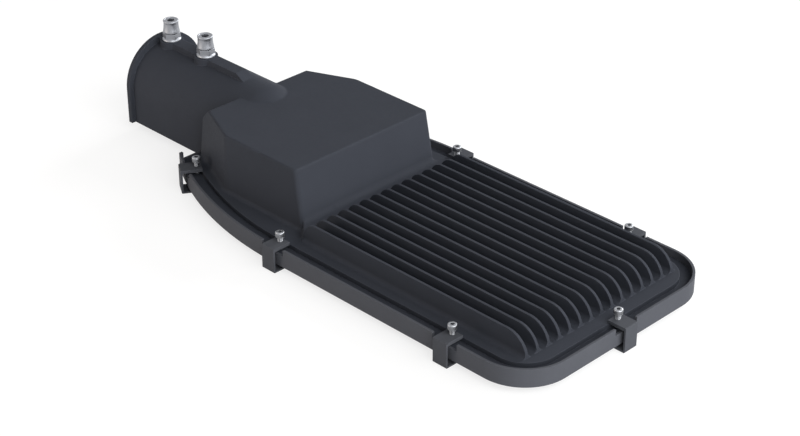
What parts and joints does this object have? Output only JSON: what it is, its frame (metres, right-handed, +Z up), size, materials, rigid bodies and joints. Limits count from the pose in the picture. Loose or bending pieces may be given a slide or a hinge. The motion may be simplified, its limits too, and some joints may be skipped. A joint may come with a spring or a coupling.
{
  "type": "street light head",
  "caption": "LED street light head: finned die-cast housing with a driver bay, a socket for a pole arm, and a glass panel in a rim frame held by screw clips.",
  "frame": {"origin": "centre of the pole socket's mouth, on the socket's axis", "axes": "+X along the socket's axis from the mouth to the light end, +Z up (the glass faces down), +Y to the left seen from the mouth"},
  "size_m": [0.5102, 0.2156, 0.0936],
  "materials": {
    "housing": "dark grey powder coat on die-cast aluminium",
    "frame": "dark grey powder coat",
    "clip": "dark grey powder coat",
    "seal": "silicone rubber",
    "glass": "clear toughened glass",
    "steel": "stainless steel",
    "board": "white solder mask on an aluminium-core board",
    "chip": "LED package with yellow phosphor",
    "lens": "clear moulded lens plate",
    "tray": "white painted sheet steel",
    "driver": "potted driver in a light grey case",
    "terminal": "moulded terminal block",
    "surge": "potted block",
    "nylon": "black nylon"
  },
  "bodies": {
    "root": {"housing": "housing", "bezel_frame": "frame", "glass_gasket": "seal", "glass_pane": "glass", "clip_front_end": "clip", "clip_front_left": "clip", "clip_front_right": "clip", "clip_mid_left": "clip", "clip_mid_right": "clip", "clip_rear_left": "clip", "clip_rear_right": "clip", "clip_screws": "steel", "clamp_screws": "steel", "clamp_nuts": "steel", "led_board_1": "board", "led_board_2": "board", "led_board_3": "board", "led_chips_1": "chip", "led_chips_2": "chip", "led_chips_3": "chip", "lens_plate_1": "lens", "lens_plate_2": "lens", "lens_plate_3": "lens", "module_screws": "steel", "gear_tray": "tray", "tray_screws": "steel", "led_driver": "driver", "driver_screws": "steel", "terminal_block": "terminal", "terminal_screws": "steel", "surge_protector": "surge", "surge_screws": "steel", "cord_clamp_bar": "nylon", "cord_clamp_screws": "steel", "cable_gland": "nylon", "gland_nut": "nylon"}
  },
  "joints": []
}
